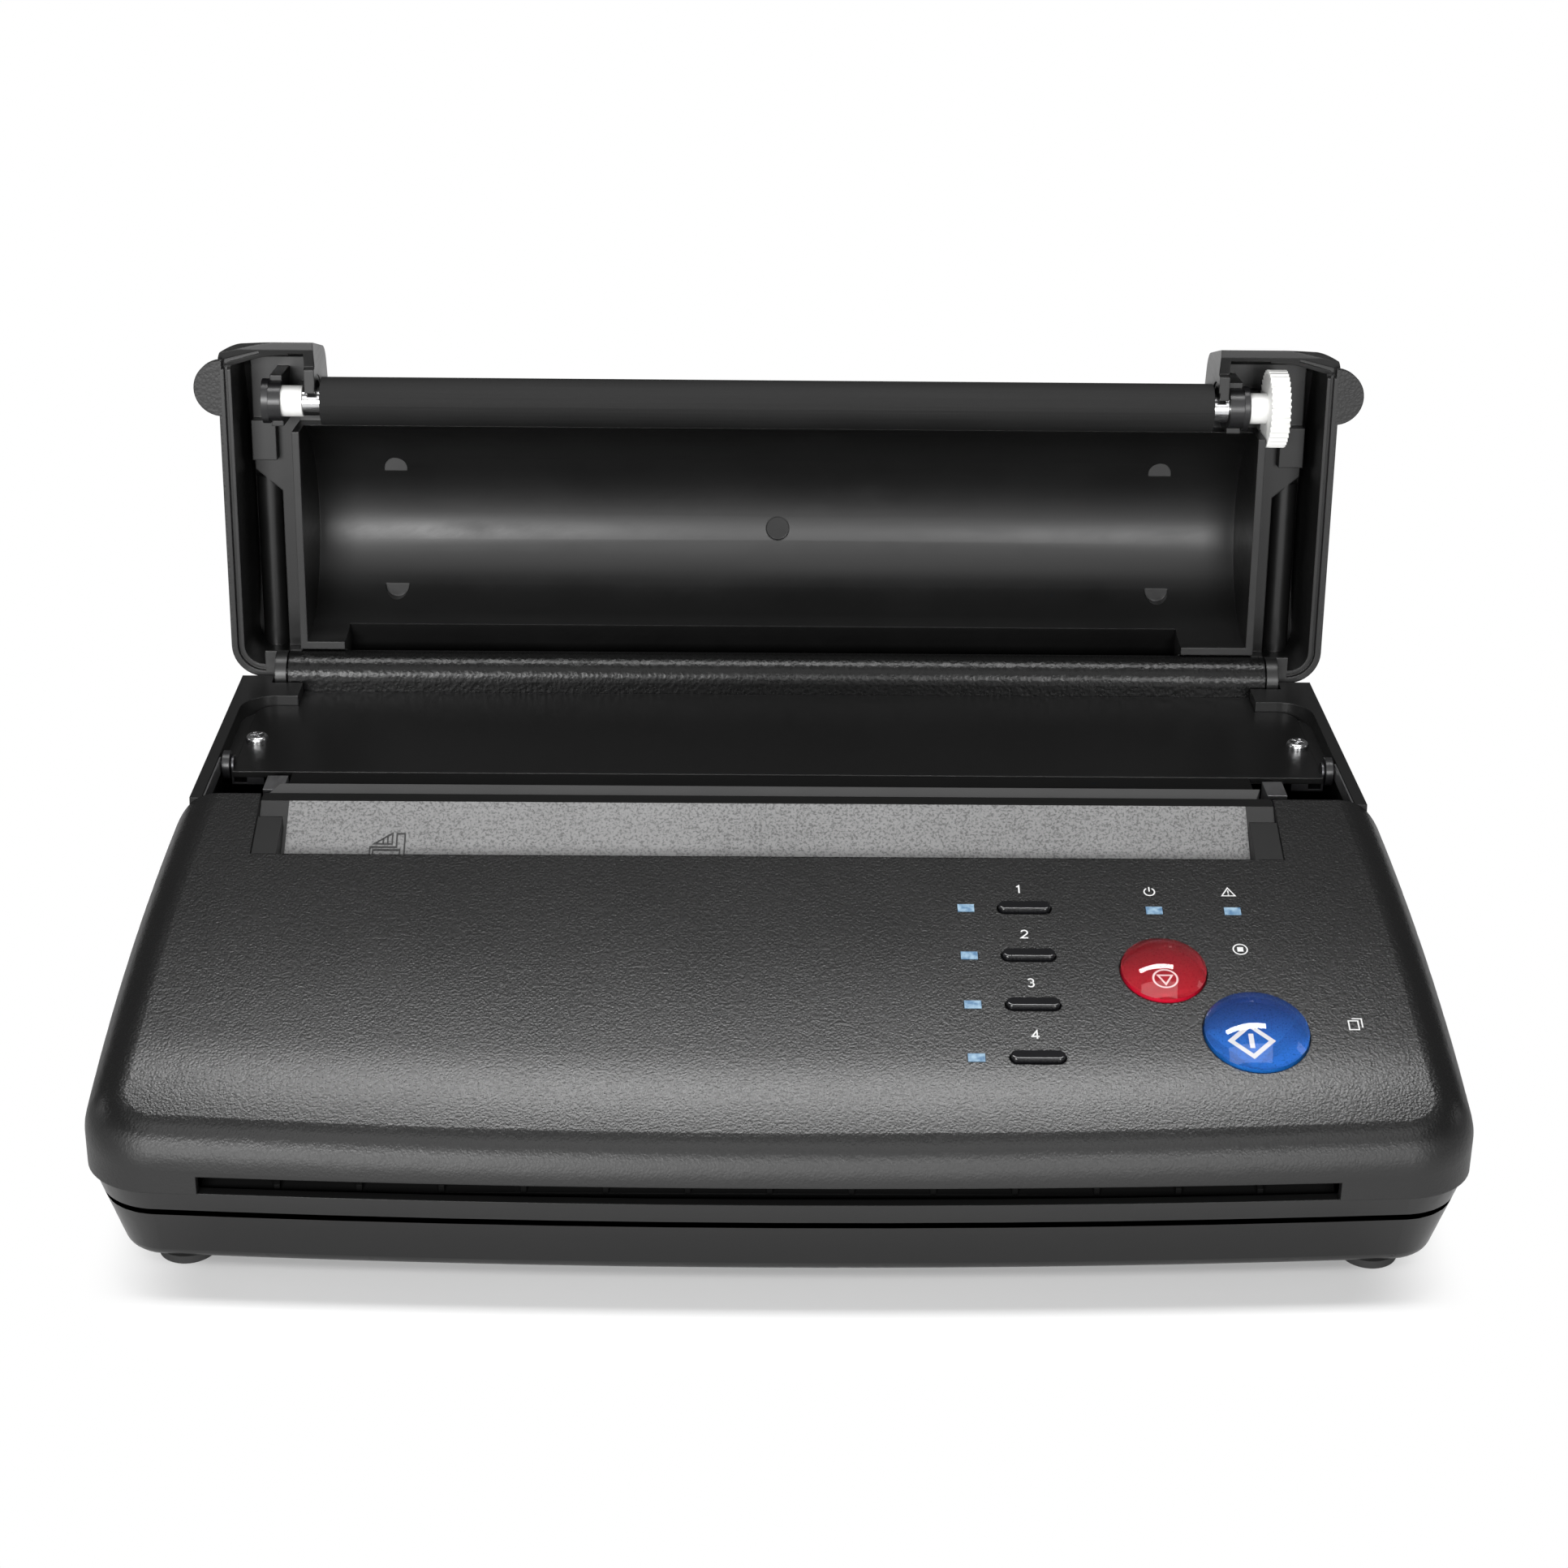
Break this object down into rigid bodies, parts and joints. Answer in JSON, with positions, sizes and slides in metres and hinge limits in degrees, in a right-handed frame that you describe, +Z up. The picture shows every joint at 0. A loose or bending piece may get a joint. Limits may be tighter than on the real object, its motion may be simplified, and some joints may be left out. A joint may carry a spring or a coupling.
{
  "type": "thermal stencil copier",
  "caption": "Desktop thermal stencil copier with its lid raised, platen roller in the lid, sloping key panel, document feed recess and front exit slot.",
  "frame": {"origin": "middle of the footprint of the open machine, on the surface it stands on", "axes": "+X to the user's right, +Y from the user to the hinge at the back, +Z up"},
  "size_m": [0.286, 0.2119, 0.1494],
  "materials": {
    "cover_black": "fine leather grain",
    "case_grey": "smooth satin",
    "hinge_black": "leather grain, satin",
    "tray_grey": "fine texture",
    "guide_black": "smooth",
    "deck_black": "smooth satin",
    "felt": "felt",
    "head_ceramic": "glossy glaze",
    "sink_aluminium": "extruded",
    "sheet_steel": "zinc plated sheet",
    "bright_steel": "polished",
    "screw_steel": "bright screws",
    "spring_steel": "spring wire and rings",
    "roller_rubber": "ground rubber",
    "foot_rubber": "soft",
    "nylon_white": "moulded nylon",
    "acetal_dark": "moulded acetal",
    "motor_metal": "steel can",
    "supply_black": "lacquered core",
    "board_green": "circuit board",
    "scanner_clear": "clear",
    "indicator_blue": "clear light guide",
    "key_gloss": "polished black",
    "button_red": "bright red",
    "button_blue": "metallic blue",
    "dome_red": "clear red dome",
    "dome_clear": "clear dome"
  },
  "bodies": {
    "base": {"front_cover": "cover_black", "lower_case": "case_grey", "rear_bar": "hinge_black", "document_tray": "tray_grey", "exit_guide": "tray_grey", "upper_guide": "guide_black", "paper_guide": "guide_black", "scanner_bar": "guide_black", "power_inlet": "guide_black", "deck_plate": "deck_black", "pinch_pads": "felt", "thermal_head": "head_ceramic", "heat_sink": "sink_aluminium", "head_bracket": "sheet_steel", "head_beam": "sheet_steel", "side_frame_left": "sheet_steel", "side_frame_right": "sheet_steel", "side_strips": "sheet_steel", "hinge_pins": "bright_steel", "idler_posts": "bright_steel", "screws": "screw_steel", "head_springs": "spring_steel", "catch_brackets": "spring_steel", "rubber_feet": "foot_rubber", "roller_bushes": "acetal_dark", "motor_body": "motor_metal", "power_supply": "supply_black", "main_board": "board_green", "key_board": "board_green", "scanner_glass": "scanner_clear", "led_windows": "indicator_blue"},
    "lid": {"lid_shell": "cover_black", "roller_bearing_left": "acetal_dark", "roller_bearing_right": "acetal_dark"},
    "platen": {"platen_shaft": "bright_steel", "platen_rubber": "roller_rubber", "platen_bush": "nylon_white", "platen_gear": "nylon_white"},
    "feed_roller": {"feed_shaft": "bright_steel", "feed_rings": "roller_rubber", "feed_gear": "acetal_dark"},
    "exit_roller": {"exit_shaft": "bright_steel", "exit_rings": "roller_rubber", "exit_gear": "acetal_dark"},
    "first_idler": {"idler_gear_1": "acetal_dark"},
    "second_idler": {"idler_gear_2": "acetal_dark"},
    "third_idler": {"idler_gear_3": "acetal_dark"},
    "motor_rotor": {"motor_shaft": "bright_steel", "motor_pinion": "nylon_white"},
    "key_a": {"key_1": "key_gloss"},
    "key_b": {"key_2": "key_gloss"},
    "key_c": {"key_3": "key_gloss"},
    "key_d": {"key_4": "key_gloss"},
    "stop": {"stop_button": "button_red", "stop_dome": "dome_red"},
    "copy": {"copy_button": "button_blue", "copy_dome": "dome_clear"},
    "rocker": {"power_rocker": "key_gloss"},
    "catch_left": {"catch_roller_left": "acetal_dark"},
    "catch_right": {"catch_roller_right": "acetal_dark"}
  },
  "joints": [
    {"name": "lid_hinge", "type": "hinge", "parent": "base", "child": "lid", "pos_m": [0, 0.0725, 0.0667], "axis": [1, 0, 0], "range_deg": [0, 94.8]},
    {"name": "platen_spin", "type": "hinge", "parent": "lid", "child": "platen", "pos_m": [0, 0.08286, 0.13387], "axis": [1, 0, 0], "continuous": true},
    {"name": "feed_spin", "type": "hinge", "parent": "base", "child": "feed_roller", "pos_m": [0, -0.03377, 0.04133], "axis": [1, 0, 0], "continuous": true},
    {"name": "exit_spin", "type": "hinge", "parent": "base", "child": "exit_roller", "pos_m": [0, -0.07577, 0.02698], "axis": [1, 0, 0], "continuous": true},
    {"name": "first_idler_spin", "type": "hinge", "parent": "base", "child": "first_idler", "pos_m": [0.1216, 0.00366, 0.05644], "axis": [1, 0, 0], "continuous": true},
    {"name": "second_idler_spin", "type": "hinge", "parent": "base", "child": "second_idler", "pos_m": [0.1216, -0.0123, 0.04613], "axis": [1, 0, 0], "continuous": true},
    {"name": "third_idler_spin", "type": "hinge", "parent": "base", "child": "third_idler", "pos_m": [0.1216, -0.05282, 0.02843], "axis": [1, 0, 0], "continuous": true},
    {"name": "motor_spin", "type": "hinge", "parent": "base", "child": "motor_rotor", "pos_m": [0.112, -0.00816, 0.03068], "axis": [1, 0, 0], "continuous": true},
    {"name": "catch_left_spin", "type": "hinge", "parent": "base", "child": "catch_left", "pos_m": [-0.12915, 0.0205, 0.0639], "axis": [1, 0, 0], "continuous": true},
    {"name": "catch_right_spin", "type": "hinge", "parent": "base", "child": "catch_right", "pos_m": [0.12915, 0.0205, 0.0639], "axis": [1, 0, 0], "continuous": true},
    {"name": "key_a_press", "type": "slide", "parent": "base", "child": "key_a", "axis": [0, 0.3233, -0.9463], "range_m": [0, 0.0008], "stiffness_N_per_m": 300, "springref_m": -0.001},
    {"name": "key_b_press", "type": "slide", "parent": "base", "child": "key_b", "axis": [0, 0.3233, -0.9463], "range_m": [0, 0.0008], "stiffness_N_per_m": 300, "springref_m": -0.001},
    {"name": "key_c_press", "type": "slide", "parent": "base", "child": "key_c", "axis": [0, 0.3233, -0.9463], "range_m": [0, 0.0008], "stiffness_N_per_m": 300, "springref_m": -0.001},
    {"name": "key_d_press", "type": "slide", "parent": "base", "child": "key_d", "axis": [0, 0.3233, -0.9463], "range_m": [0, 0.0008], "stiffness_N_per_m": 300, "springref_m": -0.001},
    {"name": "stop_press", "type": "slide", "parent": "base", "child": "stop", "axis": [0, 0.3233, -0.9463], "range_m": [0, 0.001], "stiffness_N_per_m": 300, "springref_m": -0.001},
    {"name": "copy_press", "type": "slide", "parent": "base", "child": "copy", "axis": [0, 0.3233, -0.9463], "range_m": [0, 0.001], "stiffness_N_per_m": 300, "springref_m": -0.001},
    {"name": "rocker_tilt", "type": "hinge", "parent": "base", "child": "rocker", "pos_m": [-0.062, 0.079, 0.0264], "axis": [-1, 0, 0], "range_deg": [0, 20]}
  ],
  "couplings": [
    {"joint": "first_idler_spin", "follows": "platen_spin", "ratio": -1.5},
    {"joint": "second_idler_spin", "follows": "platen_spin", "ratio": 0.69231},
    {"joint": "feed_spin", "follows": "platen_spin", "ratio": -1},
    {"joint": "third_idler_spin", "follows": "platen_spin", "ratio": 0.64286},
    {"joint": "exit_spin", "follows": "platen_spin", "ratio": -1},
    {"joint": "motor_spin", "follows": "platen_spin", "ratio": -3}
  ]
}
